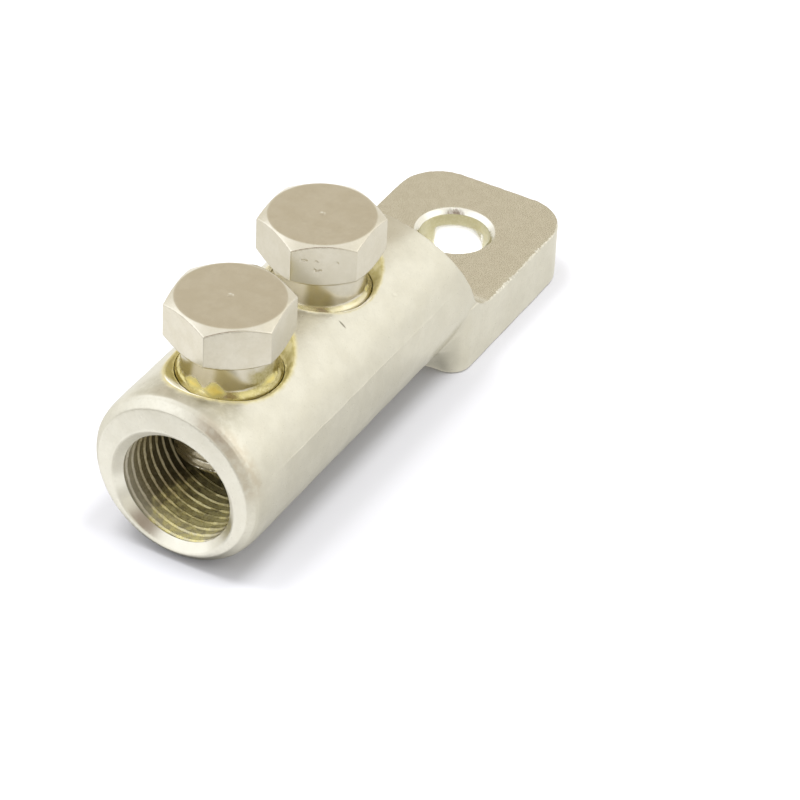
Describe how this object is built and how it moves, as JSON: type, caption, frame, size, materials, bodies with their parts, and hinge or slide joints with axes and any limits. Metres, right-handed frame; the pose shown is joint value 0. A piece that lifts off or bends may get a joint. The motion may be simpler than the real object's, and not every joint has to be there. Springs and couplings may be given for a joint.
{
  "type": "mechanical lug",
  "caption": "Mechanical cable lug: a round barrel with a grooved blind bore, hexagon-head shear bolts that clamp the conductor, and a flat drilled palm for a terminal.",
  "frame": {"origin": "centre of the palm hole on the palm's contact face", "axes": "+X along the barrel from the cable mouth to the palm's free end, +Z from the contact face towards the bolt heads, +Y across the palm"},
  "size_m": [0.1117, 0.032, 0.0432],
  "materials": {
    "tinned_body": "tin-plated cast aluminium alloy, satin with a fine grain, milled on the palm",
    "tinned_bolt": "tin-plated turned alloy, smooth satin"
  },
  "bodies": {
    "body": {"lug_body": "tinned_body"},
    "front_bolt": {"front_shear_bolt": "tinned_bolt"},
    "rear_bolt": {"rear_shear_bolt": "tinned_bolt"}
  },
  "joints": [
    {"name": "front_bolt_travel", "type": "slide", "parent": "body", "child": "front_bolt", "axis": [0, 0, 1], "range_m": [-0.0025, 0.0125]},
    {"name": "rear_bolt_travel", "type": "slide", "parent": "body", "child": "rear_bolt", "axis": [0, 0, 1], "range_m": [-0.0019, 0.0132]}
  ]
}
